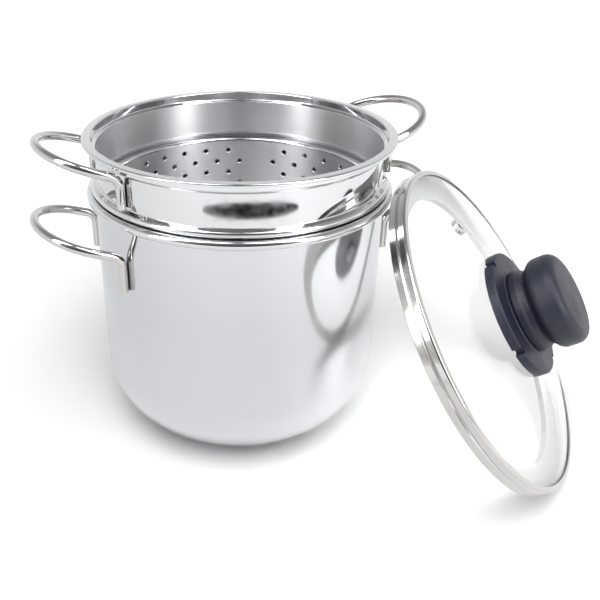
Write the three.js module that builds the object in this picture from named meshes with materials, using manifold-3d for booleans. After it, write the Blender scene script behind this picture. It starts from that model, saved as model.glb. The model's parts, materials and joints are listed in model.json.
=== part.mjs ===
// Pasta pot: a stock pot with a sandwich base, a perforated colander that hangs in its rim,
// and a glass lid that leans against one handle. Millimetres, +Z up, the table at Z 0,
// the pot's axis on Z, the two handles of each vessel along +X and -X.
import * as THREE from "three";
import { mergeVertices } from "three/addons/utils/BufferGeometryUtils.js";
import Module from "manifold-3d";

const wasm = await Module();
wasm.setup();

// Fits
const SEAT_GAP = 0.3; // between pieces that touch, are welded or are bonded
const SHEET = 0.9; // stainless sheet of pot and colander

// Pot
const POT_RADIUS = 102; // outside of the straight wall
const POT_LIP_TOP = 188.4; // above the table
const POT_LIP_ROLL = 3.2; // section radius of the rolled lip
const POT_FLAT_RADIUS = 52; // flat middle of the bottom
const POT_CORNER_HEIGHT = 54; // the bottom's round corner, up the wall

// Sandwich base
const CAP_SHEET = 0.6;
const CORE_THICKNESS = 3.5;
const CORE_OVERHANG = 5; // of the aluminium disc past the bottom's flat

// Colander
const COLLAR_HEIGHT = 36.6; // rim above the pot's lip
const COLLAR_INSET = 2.2; // outside of the collar, in from the pot's outside
const RIM_STEP = 1.9; // opening of the flat rim, out from the collar
const RIM_WIDTH = 6.3; // of the flat rim
const RIM_ROLL = 1.1; // section radius of the hemmed rim edge
const LEDGE_DEPTH = 6.8; // from the rim down to the step in the wall
const BRIM_REACH = 4.4; // folded brim that rests on the pot's lip, out from the collar
const BRIM_HEIGHT = 5.4;
const BRIM_BEVEL = 2.4; // the fold's slope, down from the collar
const SHOULDER_DROP = 1.0; // the shoulder's fall from the collar to the basket
const BASKET_PLAY = 7.7; // between the basket's wall and the pot's inside
const BASKET_DEPTH = 125.6; // from the shoulder to the inside of the floor
const BASKET_CORNER = 30;

// Perforations
const HOLE_DIAMETER = 3.5;
const HOLE_SIDES = 4;
const HOLE_PANELS = 3; // perforated panels with plain strips between them
const PANEL_HOLES = 10; // in the fuller rows, and one fewer in the rows between them
const STRIP_ANGLE = 60; // degrees, middle of the first plain strip
const FIRST_ROW = 9.5; // below the shoulder
const ROW_PITCH = 9.3;
const ROWS = 8;
const FLOOR_RINGS = 2;
const FLOOR_PITCH = 24;

// Wire handles
const WIRE = 6;
const FOOT_SPACING = 79.6; // between the two welded feet
const POT_FOOT_LENGTH = 24.8; // welded feet, below the loop's plane
const FOOT_OVER_BRIM = 1.4; // lower end of the colander's feet
const WIRE_BEND = 9; // centre-line radius where a foot turns out into the loop
const POT_LOOP_REACH = 50; // from the wall along the loop
const COLLAR_LOOP_REACH = 45.6;
const LOOP_ROUND = 35.5; // length of the loop's rounded end
const LOOP_RISE = 18.7; // degrees above level
const POT_HANDLE_DROP = 26.6; // below the pot's lip, of the loop's plane where it meets the feet
const COLLAR_HANDLE_DROP = 9.5; // the same, below the colander's rim

// Lid
const LID_OVERHANG = 10; // outside of the steel band, past the colander's rim
const BAND_SHEET = 0.8;
const BAND_TURN = 1.6; // bevel where the band turns over the glass
const BAND_GRIP = 3.8; // how far the band reaches in over the glass
const LEDGE_IN_BAND = 6; // height of the rolled groove that carries the glass
const GROOVE_DEPTH = 1.1;
const LID_SPIGOT_DEPTH = 3.5; // the turned-down edge that centres the lid in a rim
const SPIGOT_PLAY = 1.4;
const GLASS = 4; // thickness
const DOME_RISE = 19;
const SEAL_WALL = 0.9;
const LID_TURN = -43.7; // degrees, heading of the lean from the handle line
const TOUCH_INSET = 2; // from the band's edge to where the wire touches the flat under it
const TOUCH_TURN = 31.3; // degrees, round the band from its top to that touch

// Vent
const VENT_FROM_AXIS = 73;
const VENT_TURN = 176; // degrees round the lid
const VENT_BORE = 4;
const VENT_TUBE = 7.2; // outer diameter
const VENT_FLANGE = 12;
const VENT_SHEET = 0.8;

// Knob
const SHIELD_RADIUS = 44; // wide disc under the grip
const SHIELD_EDGE = 6.2; // height of the disc's skirt
const SHIELD_CROWN = 1.8; // rise of the disc from its edge to the grip
const NOTCHES = 4;
const NOTCH_WIDTH = 4.6;
const NOTCH_DEPTH = 3.4;
const NOTCH_TURN = 7.8; // degrees
const GRIP_FOOT_RADIUS = 28.5;
const GRIP_FOOT_HEIGHT = 4.5;
const GRIP_WAIST_RADIUS = 25.4;
const GRIP_RADIUS = 31.5;
const GRIP_HEIGHT = 33;
const GRIP_EDGE = 8; // rounding of the grip's top edge
const GRIP_EDGE_SWEEP = 75; // degrees, from the side to where the crown starts
const GRIP_CROWN = 2.5;

// Knob fixing
const INSERT_DIAMETER = 9;
const INSERT_LENGTH = 16;
const SCREW_DIAMETER = 5;
const SCREW_HEAD_DIAMETER = 11;
const SCREW_HEAD_HEIGHT = 3;
const WASHER_DIAMETER = 20;
const WASHER_THICKNESS = 1.2;
const GASKET_THICKNESS = 1.5;
const GLASS_BORE = 8;

const TURN = Math.PI * 2;
const DEG = Math.PI / 180;
const ROUND = 32; // facets round a large revolved piece
const KNOB_ROUND = 28;
const ROUND_SMALL = 12;

const STEEL_SATIN = { color: 0xc9cacc, roughness: 0.38, metalness: 1 };
const STEEL_POLISHED = { color: 0xd6d6d6, roughness: 0.12, metalness: 1 };
const ALUMINIUM = { color: 0xb8babc, roughness: 0.5, metalness: 1 };
const GLASS_CLEAR = { color: 0xf1f5f4, roughness: 0.02, metalness: 0, transparent: true, opacity: 0.25 };
const PHENOLIC = { color: 0x3d4149, roughness: 0.55, metalness: 0 };
const SILICONE = { color: 0xdfe0de, roughness: 0.6, metalness: 0 };
const BRASS = { color: 0xb59a5a, roughness: 0.35, metalness: 1 };

// Geometry helpers

// Shared corners merged, with the flat triangles at a pole left out.
function weld(geometry) {
  geometry.deleteAttribute("normal");
  geometry.deleteAttribute("uv");
  const joined = mergeVertices(geometry, 1e-4);
  const corners = joined.index.array;
  const kept = [];
  for (let i = 0; i < corners.length; i += 3) {
    const [a, b, c] = [corners[i], corners[i + 1], corners[i + 2]];
    if (a !== b && b !== c && c !== a) kept.push(a, b, c);
  }
  joined.setIndex(kept);
  return joined;
}

// An outline of [radius, height] points, anticlockwise, turned round Z.
function revolve(outline, facets = ROUND, start = 0) {
  const points = outline.map(([radius, height]) => new THREE.Vector2(radius, height));
  return weld(new THREE.LatheGeometry(points, facets, start).rotateX(Math.PI / 2));
}

// The same for an outline that goes round a ring's section and closes on itself.
const revolveRing = (outline, facets, start) => revolve([...outline, outline[0]], facets, start);

// Points on an ellipse from one angle to another, in degrees.
function arc(centreR, centreZ, radiusR, radiusZ, from, to, steps) {
  return Array.from({ length: steps + 1 }, (_, i) => {
    const angle = (from + ((to - from) * i) / steps) * DEG;
    return [centreR + radiusR * Math.cos(angle), centreZ + radiusZ * Math.sin(angle)];
  });
}

function toSolid(geometry) {
  return new wasm.Manifold(
    new wasm.Mesh({
      numProp: 3,
      vertProperties: new Float32Array(geometry.attributes.position.array),
      triVerts: new Uint32Array(geometry.index.array),
    }),
  );
}

function toGeometry(solid) {
  const mesh = solid.getMesh();
  const geometry = new THREE.BufferGeometry();
  geometry.setAttribute("position", new THREE.BufferAttribute(new Float32Array(mesh.vertProperties), 3));
  geometry.setIndex(new THREE.BufferAttribute(new Uint32Array(mesh.triVerts), 1));
  return geometry;
}

// A body with a list of cutters taken out of it.
function cut(geometry, cutters) {
  const tools = cutters.map((cutter) => toSolid(weld(cutter)));
  return toGeometry(wasm.Manifold.difference([toSolid(geometry), ...tools]));
}

function piece(name, geometry, finish) {
  const mesh = new THREE.Mesh(geometry, new THREE.MeshStandardMaterial(finish));
  mesh.name = name;
  return mesh;
}

// Pot

const potBottom = CAP_SHEET + SEAT_GAP + CORE_THICKNESS + SEAT_GAP;
const potInside = POT_RADIUS - SHEET;
const lipCentre = { r: potInside + POT_LIP_ROLL, z: POT_LIP_TOP - POT_LIP_ROLL };

function potBody() {
  const cornerTop = potBottom + POT_CORNER_HEIGHT;
  const cornerWidth = POT_RADIUS - POT_FLAT_RADIUS;
  const meet = Math.asin((lipCentre.r - POT_RADIUS) / POT_LIP_ROLL) / DEG;
  return revolve([
    [0, potBottom],
    ...arc(POT_FLAT_RADIUS, cornerTop, cornerWidth, POT_CORNER_HEIGHT, -90, 0, 5),
    ...arc(lipCentre.r, lipCentre.z, POT_LIP_ROLL, POT_LIP_ROLL, 270 - meet, 540, 6),
    ...arc(POT_FLAT_RADIUS, cornerTop, cornerWidth - SHEET, POT_CORNER_HEIGHT - SHEET, 0, -90, 4),
    [0, potBottom + SHEET],
  ]);
}

const coreRadius = POT_FLAT_RADIUS + CORE_OVERHANG;

// The aluminium disc that spreads the heat.
function baseCore() {
  const bottom = CAP_SHEET + SEAT_GAP;
  const top = bottom + CORE_THICKNESS;
  return revolve([
    [0, bottom],
    [coreRadius - 2, bottom],
    [coreRadius, bottom + 2],
    [coreRadius, top],
    [0, top],
  ]);
}

// The steel dish pressed over the disc.
function baseCap() {
  const inside = coreRadius + SEAT_GAP;
  const outside = inside + CAP_SHEET;
  const edge = potBottom - SEAT_GAP;
  return revolve([
    [0, 0],
    [outside - 2, 0],
    [outside, 2],
    [outside, edge],
    [inside, edge],
    [inside, CAP_SHEET + 2],
    [inside - 2, CAP_SHEET],
    [0, CAP_SHEET],
  ]);
}

// Colander

const collarRadius = POT_RADIUS - COLLAR_INSET;
const collarInside = collarRadius - SHEET;
const brimRadius = collarRadius + BRIM_REACH;
const rimOpening = collarRadius + RIM_STEP;
const rimRadius = rimOpening + RIM_WIDTH;
const rimTop = POT_LIP_TOP + COLLAR_HEIGHT;
const brimBottom = POT_LIP_TOP + SEAT_GAP;
const brimTop = brimBottom + BRIM_HEIGHT;
const shoulderTop = brimBottom + SHEET + SHOULDER_DROP;
const basketRadius = potInside - BASKET_PLAY;
const basketInside = basketRadius - SHEET;
const basketTop = shoulderTop - SHOULDER_DROP;
const basketFloor = basketTop - BASKET_DEPTH;

const facetsPerPanel = 2 * PANEL_HOLES + 1;
const colanderFacets = HOLE_PANELS * facetsPerPanel;
const facetAngle = 360 / colanderFacets;
// The middle of a plain strip lies on the facet edge that follows a panel.
const firstFacet = STRIP_ANGLE - PANEL_HOLES * 2 * facetAngle;

function colanderShell() {
  const ledge = rimTop - LEDGE_DEPTH;
  const cornerTop = basketFloor + BASKET_CORNER;
  const cornerAcross = basketInside - BASKET_CORNER;
  const corner = BASKET_CORNER + SHEET;
  return revolve(
    [
      [0, basketFloor - SHEET],
      ...arc(cornerAcross, cornerTop, corner, corner, -90, 0, 2),
      [basketRadius, brimBottom],
      [brimRadius, brimBottom],
      [brimRadius, brimTop - BRIM_BEVEL],
      [collarRadius, brimTop],
      [collarRadius, ledge - 2 * SHEET],
      [rimOpening + SHEET, ledge],
      [rimOpening + SHEET, rimTop - 2 * SHEET],
      ...arc(rimRadius - RIM_ROLL, rimTop - RIM_ROLL, RIM_ROLL, RIM_ROLL, 250, 450, 2),
      [rimOpening, rimTop],
      [rimOpening, ledge + 1],
      [collarInside, ledge],
      [collarInside, shoulderTop],
      [basketInside, basketTop],
      ...arc(cornerAcross, cornerTop, BASKET_CORNER, BASKET_CORNER, 0, -90, 2),
      [0, basketFloor],
    ],
    colanderFacets,
    (firstFacet + 90) * DEG,
  );
}

// A few-sided punch with the open area of the round hole.
function punch() {
  const area = (HOLE_SIDES / 2) * Math.sin(TURN / HOLE_SIDES);
  const radius = (HOLE_DIAMETER / 2) * Math.sqrt(Math.PI / area);
  return new THREE.CylinderGeometry(radius, radius, 8, HOLE_SIDES);
}

function wallHoles() {
  const holes = [];
  for (let row = 0; row < ROWS; row += 1) {
    const fuller = row % 2;
    const height = basketTop - FIRST_ROW - row * ROW_PITCH;
    for (let panel = 0; panel < HOLE_PANELS; panel += 1) {
      for (let i = 0; i < PANEL_HOLES - 1 + fuller; i += 1) {
        const facet = panel * facetsPerPanel + 2 * i + (fuller ? 0 : 1);
        const angle = firstFacet + (facet + 0.5) * facetAngle;
        holes.push(
          punch()
            .rotateZ(Math.PI / 2)
            .translate(basketRadius, 0, height)
            .rotateZ(angle * DEG),
        );
      }
    }
  }
  return holes;
}

function floorHoles() {
  const holes = [];
  for (let ring = 0; ring <= FLOOR_RINGS; ring += 1) {
    const count = Math.max(1, ring * 6);
    for (let i = 0; i < count; i += 1) {
      holes.push(
        punch()
          .rotateX(Math.PI / 2)
          .translate(ring * FLOOR_PITCH, 0, basketFloor)
          .rotateZ((TURN * i) / count),
      );
    }
  }
  return holes;
}

const colanderBody = () => cut(colanderShell(), [...wallHoles(), ...floorHoles()]);

// Wire handles

const potHandleHeight = POT_LIP_TOP - POT_HANDLE_DROP;
const collarHandleHeight = rimTop - COLLAR_HANDLE_DROP;
const collarFootLength = collarHandleHeight - brimTop - FOOT_OVER_BRIM;

// Centre line of a handle on the +X side: up one foot, out, round the loop and down the other foot.
function wireLine(wallRadius, height, foot, reach) {
  const half = FOOT_SPACING / 2;
  const standOff = wallRadius + WIRE / 2 + SEAT_GAP;
  const rise = LOOP_RISE * DEG;
  const wall = Math.sqrt(standOff ** 2 - half ** 2);
  const along = (distance, side) =>
    new THREE.Vector3(wall + distance * Math.cos(rise), side, height + distance * Math.sin(rise));
  const tangent = WIRE_BEND * Math.tan((Math.PI / 2 - rise) / 2);
  const handle = reach - LOOP_ROUND;
  const curl = 0.5523; // control length of a quarter ellipse
  const line = new THREE.CurvePath();
  const halfWire = (side) => {
    const corner = along(0, side);
    const down = (distance) => corner.clone().setZ(height - distance);
    return [
      new THREE.LineCurve3(down(foot), down(tangent)),
      new THREE.QuadraticBezierCurve3(down(tangent), corner, along(tangent, side)),
      new THREE.LineCurve3(along(tangent, side), along(handle, side)),
      new THREE.CubicBezierCurve3(
        along(handle, side),
        along(handle + curl * LOOP_ROUND, side),
        along(reach, side * curl),
        along(reach, 0),
      ),
    ];
  };
  const backwards = (curve) => {
    const turned = curve.clone();
    if (curve.isCubicBezierCurve3) [turned.v0, turned.v1, turned.v2, turned.v3] = [curve.v3, curve.v2, curve.v1, curve.v0];
    else if (curve.isQuadraticBezierCurve3) [turned.v0, turned.v2] = [curve.v2, curve.v0];
    else [turned.v1, turned.v2] = [curve.v2, curve.v1];
    return turned;
  };
  halfWire(-half).forEach((curve) => line.add(curve));
  halfWire(half).reverse().forEach((curve) => line.add(backwards(curve)));
  return line;
}

function wireHandle(wallRadius, height, foot, reach) {
  const section = new THREE.Shape().absarc(0, 0, WIRE / 2, 0, TURN);
  return weld(
    new THREE.ExtrudeGeometry(section, {
      steps: 26,
      curveSegments: 3,
      extrudePath: wireLine(wallRadius, height, foot, reach),
    }),
  );
}

// Lid, drawn with its axis on Z and the foot of its band at Z 0

const lidRadius = rimRadius + LID_OVERHANG;
const glassRadius = lidRadius - BAND_SHEET - SEAT_GAP - SEAL_WALL - SEAT_GAP;
const glassFoot = LEDGE_IN_BAND + BAND_SHEET / 2 + SEAT_GAP;
const glassEdgeTop = glassFoot + GLASS;
const domeRadius = (glassRadius ** 2 + DOME_RISE ** 2) / (2 * DOME_RISE);
const domeCentre = glassEdgeTop + DOME_RISE - domeRadius;
const domeTop = (radius) => domeCentre + Math.sqrt(domeRadius ** 2 - radius ** 2);
const ventTilt = Math.asin(VENT_FROM_AXIS / domeRadius);

// A piece drawn at the glass surface, moved to the vent and tipped square to the dome.
const atVent = (geometry) =>
  geometry
    .rotateY(ventTilt)
    .translate(VENT_FROM_AXIS, 0, domeTop(VENT_FROM_AXIS))
    .rotateZ(VENT_TURN * DEG);

function lidGlass() {
  const roundVent = 0.7 * VENT_FLANGE;
  const radii = [
    GLASS_BORE / 2,
    SHIELD_RADIUS,
    VENT_FROM_AXIS - roundVent,
    VENT_FROM_AXIS + roundVent,
    glassRadius,
  ];
  const under = radii.map((radius) => [radius, domeTop(radius) - GLASS]);
  const over = radii.map((radius) => [radius, domeTop(radius)]).reverse();
  const ventHole = new THREE.CylinderGeometry(VENT_TUBE / 2 + SEAT_GAP, VENT_TUBE / 2 + SEAT_GAP, 4 * GLASS, 12);
  return cut(revolveRing([...under, ...over]), [atVent(ventHole.rotateX(Math.PI / 2))]);
}

function rimBand() {
  const inside = lidRadius - BAND_SHEET;
  const spigot = rimOpening - SPIGOT_PLAY;
  const grip = lidRadius - BAND_GRIP;
  const over = domeTop(grip) + SEAT_GAP;
  const groove = lidRadius - GROOVE_DEPTH;
  const shelf = glassRadius - 2.5;
  const top = glassEdgeTop + SEAT_GAP + BAND_SHEET;
  const bevelInside = BAND_TURN + BAND_SHEET * (Math.SQRT2 - 1);
  return revolveRing([
    [spigot - BAND_SHEET, -LID_SPIGOT_DEPTH],
    [spigot, -LID_SPIGOT_DEPTH],
    [spigot, 0],
    [lidRadius, 0],
    [lidRadius, LEDGE_IN_BAND - GROOVE_DEPTH],
    [groove, LEDGE_IN_BAND],
    [lidRadius, LEDGE_IN_BAND + GROOVE_DEPTH],
    [lidRadius, top - BAND_TURN],
    [lidRadius - BAND_TURN, top],
    [grip, over + BAND_SHEET],
    [grip, over],
    [lidRadius - bevelInside, top - BAND_SHEET],
    [inside, top - bevelInside],
    [inside, LEDGE_IN_BAND + BAND_SHEET / 2],
    [shelf, LEDGE_IN_BAND + BAND_SHEET / 2],
    [shelf, LEDGE_IN_BAND - BAND_SHEET / 2],
    [inside, LEDGE_IN_BAND - BAND_SHEET / 2 - GROOVE_DEPTH],
    [inside, BAND_SHEET],
    [spigot - BAND_SHEET, BAND_SHEET],
  ]);
}

// The silicone strip between the edge of the glass and the band.
function rimSeal() {
  const inside = glassRadius + SEAT_GAP;
  const outside = inside + SEAL_WALL;
  return revolveRing([
    [inside, glassFoot],
    [outside, glassFoot],
    [outside, glassEdgeTop - 1.4],
    [inside, glassEdgeTop - 0.6],
  ]);
}

// A tubular rivet through the glass, rolled over on both sides.
function ventEyelet() {
  const bore = VENT_BORE / 2;
  const tube = VENT_TUBE / 2;
  const flange = VENT_FLANGE / 2;
  const under = -GLASS - SEAT_GAP;
  const outline = [
    [bore, under - VENT_SHEET],
    [flange, under - VENT_SHEET],
    [flange, under],
    [tube, under],
    [tube, SEAT_GAP],
    [flange, SEAT_GAP],
    [flange - 0.6, SEAT_GAP + VENT_SHEET],
    [bore, SEAT_GAP + VENT_SHEET],
  ];
  return atVent(revolveRing(outline, ROUND_SMALL));
}

// Knob

const shieldTop = domeTop(SHIELD_RADIUS) + SEAT_GAP + SHIELD_EDGE;
const gripFoot = shieldTop + SHIELD_CROWN + SEAT_GAP;
const screwRadius = SCREW_DIAMETER / 2;
const insertTop = gripFoot + 1 + INSERT_LENGTH;

function knobShield() {
  const bore = INSERT_DIAMETER / 2 + SEAT_GAP;
  const under = [0.5, 1].map((share) => {
    const radius = bore + (SHIELD_RADIUS - bore) * share;
    return [radius, domeTop(radius) + SEAT_GAP];
  });
  const disc = revolveRing([
    [bore, domeTop(bore) + SEAT_GAP],
    ...under,
    [SHIELD_RADIUS, shieldTop - 1.2],
    [SHIELD_RADIUS - 1.2, shieldTop],
    [GRIP_FOOT_RADIUS + 1.5, shieldTop + SHIELD_CROWN],
    [bore, shieldTop + SHIELD_CROWN],
  ], KNOB_ROUND);
  const notches = Array.from({ length: NOTCHES }, (_, i) =>
    new THREE.BoxGeometry(2 * NOTCH_DEPTH, NOTCH_WIDTH, 6 * SHIELD_EDGE)
      .translate(SHIELD_RADIUS, 0, shieldTop)
      .rotateZ((TURN * i) / NOTCHES + NOTCH_TURN * DEG),
  );
  return cut(disc, notches);
}

function knobGrip() {
  const bore = INSERT_DIAMETER / 2 + SEAT_GAP;
  const top = gripFoot + GRIP_HEIGHT;
  const side = top - GRIP_CROWN - GRIP_EDGE;
  const waist = gripFoot + GRIP_FOOT_HEIGHT + 4.5;
  return revolve(
    [
      [0, insertTop + SEAT_GAP],
      [bore, insertTop + SEAT_GAP],
      [bore, gripFoot],
      [GRIP_FOOT_RADIUS, gripFoot],
      [GRIP_FOOT_RADIUS, gripFoot + GRIP_FOOT_HEIGHT],
      [GRIP_WAIST_RADIUS, waist],
      [GRIP_RADIUS - 1.2, waist + 4.5],
      [GRIP_RADIUS, waist + 7.5],
      ...arc(GRIP_RADIUS - GRIP_EDGE, side, GRIP_EDGE, GRIP_EDGE, 0, GRIP_EDGE_SWEEP, 3),
      [0, top],
    ],
    KNOB_ROUND,
  );
}

// The threaded bush moulded into the grip, through the disc to the glass.
function knobInsert() {
  const bore = screwRadius + SEAT_GAP;
  const foot = domeTop(0) + SEAT_GAP;
  return revolveRing(
    [
      [bore, foot],
      [INSERT_DIAMETER / 2, foot],
      [INSERT_DIAMETER / 2, insertTop],
      [bore, insertTop],
    ],
    ROUND_SMALL,
  );
}

const glassUnder = domeTop(GLASS_BORE / 2) - GLASS;
const washerTop = glassUnder - SEAT_GAP - GASKET_THICKNESS - SEAT_GAP;

// A silicone washer with a collar that keeps the screw off the glass.
function knobGasket() {
  const bore = screwRadius + SEAT_GAP;
  const bush = GLASS_BORE / 2 - SEAT_GAP;
  const top = glassUnder - SEAT_GAP;
  return revolveRing(
    [
      [bore, top - GASKET_THICKNESS],
      [WASHER_DIAMETER / 2 - 1, top - GASKET_THICKNESS],
      [WASHER_DIAMETER / 2 - 1, domeTop(WASHER_DIAMETER / 2) - GLASS - SEAT_GAP],
      [GLASS_BORE / 2, top],
      [bush, top],
      [bush, top + GLASS - 0.5],
      [bore, top + GLASS - 0.5],
    ],
    ROUND_SMALL,
  );
}

function knobWasher() {
  const bore = screwRadius + SEAT_GAP;
  return revolveRing(
    [
      [bore, washerTop - WASHER_THICKNESS],
      [WASHER_DIAMETER / 2, washerTop - WASHER_THICKNESS],
      [WASHER_DIAMETER / 2, washerTop],
      [bore, washerTop],
    ],
    ROUND_SMALL,
  );
}

function knobScrew() {
  const seat = washerTop - WASHER_THICKNESS - SEAT_GAP;
  const head = SCREW_HEAD_DIAMETER / 2;
  const foot = seat - SCREW_HEAD_HEIGHT;
  return revolve(
    [
      [0, foot],
      [head - 1.5, foot],
      [head, foot + 1.5],
      [head, seat],
      [screwRadius, seat],
      [screwRadius, insertTop - 3],
      [0, insertTop - 3],
    ],
    ROUND_SMALL,
  );
}

// Where the lid leans: its foot on the table, the flat under its band against the pot handle's wire.
function placeLid(lid) {
  const heading = LID_TURN * DEG;
  const touch = TOUCH_TURN * DEG;
  const touchRadius = lidRadius - TOUCH_INSET;
  const touchUp = touchRadius * Math.cos(touch);
  const level = new THREE.Vector3(-Math.sin(heading), Math.cos(heading), 0);
  const wire = wireLine(POT_RADIUS, potHandleHeight, POT_FOOT_LENGTH, POT_LOOP_REACH).getSpacedPoints(200);
  const outwardAt = (lean) =>
    new THREE.Vector3(Math.cos(lean) * Math.cos(heading), Math.cos(lean) * Math.sin(heading), Math.sin(lean));
  const touchAt = (lean) => {
    const outward = outwardAt(lean);
    const furthest = wire.reduce((best, point) => (point.dot(outward) > best.dot(outward) ? point : best));
    return furthest.clone().addScaledVector(outward, WIRE / 2 + SEAT_GAP);
  };
  // The lean at which the lid's slope, from the table up, reaches the height of the touch.
  let [upright, flat] = [0, Math.PI / 2];
  for (let i = 0; i < 40; i += 1) {
    const lean = (upright + flat) / 2;
    if (touchAt(lean).z > (lidRadius + touchUp) * Math.cos(lean)) flat = lean;
    else upright = lean;
  }
  const outward = outwardAt(flat);
  const upSlope = new THREE.Vector3().crossVectors(outward, level);
  const brimReach = brimRadius * Math.cos(flat) + (brimTop - BRIM_BEVEL) * Math.sin(flat) + SEAT_GAP;
  const pastBrim = Math.max(0, brimReach - touchAt(flat).dot(outward)) / Math.cos(flat);
  lid.rotation.set(0, Math.PI / 2 - flat, heading, "ZYX");
  lid.position
    .copy(touchAt(flat))
    .addScaledVector(upSlope, -touchUp)
    .addScaledVector(level, -touchRadius * Math.sin(touch))
    .addScaledVector(new THREE.Vector3(Math.cos(heading), Math.sin(heading), 0), pastBrim);
}

// Assembly

const pot = new THREE.Group();
pot.add(
  piece("pot_body", potBody(), STEEL_SATIN),
  piece("pot_base_core", baseCore(), ALUMINIUM),
  piece("pot_base_cap", baseCap(), STEEL_SATIN),
);

const colander = new THREE.Group();
colander.add(piece("colander_body", colanderBody(), STEEL_POLISHED));

for (const [side, turn] of [["right", 0], ["left", Math.PI]]) {
  const onPot = piece(
    `pot_handle_${side}`,
    wireHandle(POT_RADIUS, potHandleHeight, POT_FOOT_LENGTH, POT_LOOP_REACH),
    STEEL_POLISHED,
  );
  const onCollar = piece(
    `colander_handle_${side}`,
    wireHandle(collarRadius, collarHandleHeight, collarFootLength, COLLAR_LOOP_REACH),
    STEEL_POLISHED,
  );
  onPot.rotation.z = turn;
  onCollar.rotation.z = turn;
  pot.add(onPot);
  colander.add(onCollar);
}

const lid = new THREE.Group();
lid.add(
  piece("lid_glass", lidGlass(), GLASS_CLEAR),
  piece("lid_rim_band", rimBand(), STEEL_POLISHED),
  piece("lid_rim_seal", rimSeal(), SILICONE),
  piece("lid_vent_eyelet", ventEyelet(), STEEL_POLISHED),
  piece("lid_knob_shield", knobShield(), PHENOLIC),
  piece("lid_knob_grip", knobGrip(), PHENOLIC),
  piece("lid_knob_insert", knobInsert(), BRASS),
  piece("lid_knob_gasket", knobGasket(), SILICONE),
  piece("lid_knob_washer", knobWasher(), STEEL_SATIN),
  piece("lid_knob_screw", knobScrew(), STEEL_SATIN),
);
placeLid(lid);

const pastaPot = new THREE.Group();
pastaPot.name = "pasta_pot";
pastaPot.add(pot, colander, lid);

export default pastaPot;
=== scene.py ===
"""Pasta pot with a lift-out colander and a leaning glass lid, dressed over its CAD frame."""
import json
import math

import bpy
from mathutils import Matrix, Vector


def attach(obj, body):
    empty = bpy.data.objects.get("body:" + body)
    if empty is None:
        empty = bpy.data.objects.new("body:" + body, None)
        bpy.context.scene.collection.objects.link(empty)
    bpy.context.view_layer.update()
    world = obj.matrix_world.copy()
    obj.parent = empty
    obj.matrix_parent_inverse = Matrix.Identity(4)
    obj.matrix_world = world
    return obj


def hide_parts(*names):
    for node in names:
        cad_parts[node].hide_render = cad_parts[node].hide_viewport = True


bl_info = {
    "name": "Pasta pot",
    "version": (1, 0, 0),
    "blender": (4, 5, 0),
    "location": "View3D > Sidebar > Pasta pot",
    "description": "Models and finishes the pot, the colander, their wire handles and the lid",
    "category": "Add Mesh",
}

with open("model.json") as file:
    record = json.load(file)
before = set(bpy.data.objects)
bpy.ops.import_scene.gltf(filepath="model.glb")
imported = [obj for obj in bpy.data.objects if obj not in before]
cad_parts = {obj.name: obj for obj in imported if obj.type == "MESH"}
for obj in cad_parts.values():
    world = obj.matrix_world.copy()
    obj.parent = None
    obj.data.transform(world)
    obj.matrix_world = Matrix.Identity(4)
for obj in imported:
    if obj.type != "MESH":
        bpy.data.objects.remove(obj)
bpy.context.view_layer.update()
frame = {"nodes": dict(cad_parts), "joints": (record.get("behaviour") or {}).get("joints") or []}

MM = 0.001
TURN = 2 * math.pi
SMOOTH_ANGLE = math.radians(32)
# Points closer than this are one
MERGE = 0.002 * MM
# Steps round each turned piece
STEPS = {
    "pot": 160,
    "core": 96,
    "cap": 128,
    "glass": 160,
    "band": 192,
    "strip": 128,
    "eyelet": 48,
    "knob": 128,
}


def hex_colour(code):
    """An sRGB hex value as linear red, green and blue."""
    shares = [int(code[i : i + 2], 16) / 255 for i in (0, 2, 4)]
    return [s / 12.92 if s <= 0.04045 else ((s + 0.055) / 1.055) ** 2.4 for s in shares]


def length(name, about, mm):
    """A size in millimetres."""
    return bpy.props.FloatProperty(name=name, description=about, default=mm * MM, unit="LENGTH", precision=5)


def count(name, about, number, least):
    """A number of like features."""
    return bpy.props.IntProperty(name=name, description=about, default=number, min=least)


def degrees(name, about, turn):
    """A heading or a slope."""
    return bpy.props.FloatProperty(name=name, description=about, default=math.radians(turn), subtype="ANGLE")


def colour(name, about, code):
    """A colour from its sRGB hex value."""
    return bpy.props.FloatVectorProperty(
        name=name, description=about, default=hex_colour(code), subtype="COLOR", size=3, min=0, max=1
    )


def share(name, about, value):
    """A share between 0 and 1."""
    return bpy.props.FloatProperty(
        name=name, description=about, default=value, subtype="FACTOR", min=0, max=1
    )


class PotSizes(bpy.types.PropertyGroup):
    sheet: length("Sheet", "Stainless sheet of pot and colander", 0.9)
    fit: length("Fit", "Gap between pieces that touch", 0.3)
    radius: length("Radius", "Outside of the straight wall", 102)
    lip_top: length("Lip top", "Height of the rolled lip", 188.4)
    lip_roll: length("Lip roll", "Section radius of the rolled lip", 3.2)
    flat: length("Flat", "Radius of the flat middle of the bottom", 52)
    corner: length("Corner", "Height of the bottom's round corner", 54)
    core_radius: length("Core radius", "Aluminium disc in the base", 57)
    core_height: length("Core height", "Thickness of the aluminium disc", 3.5)
    cap_sheet: length("Cap sheet", "Steel dish under the base", 0.6)


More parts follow.
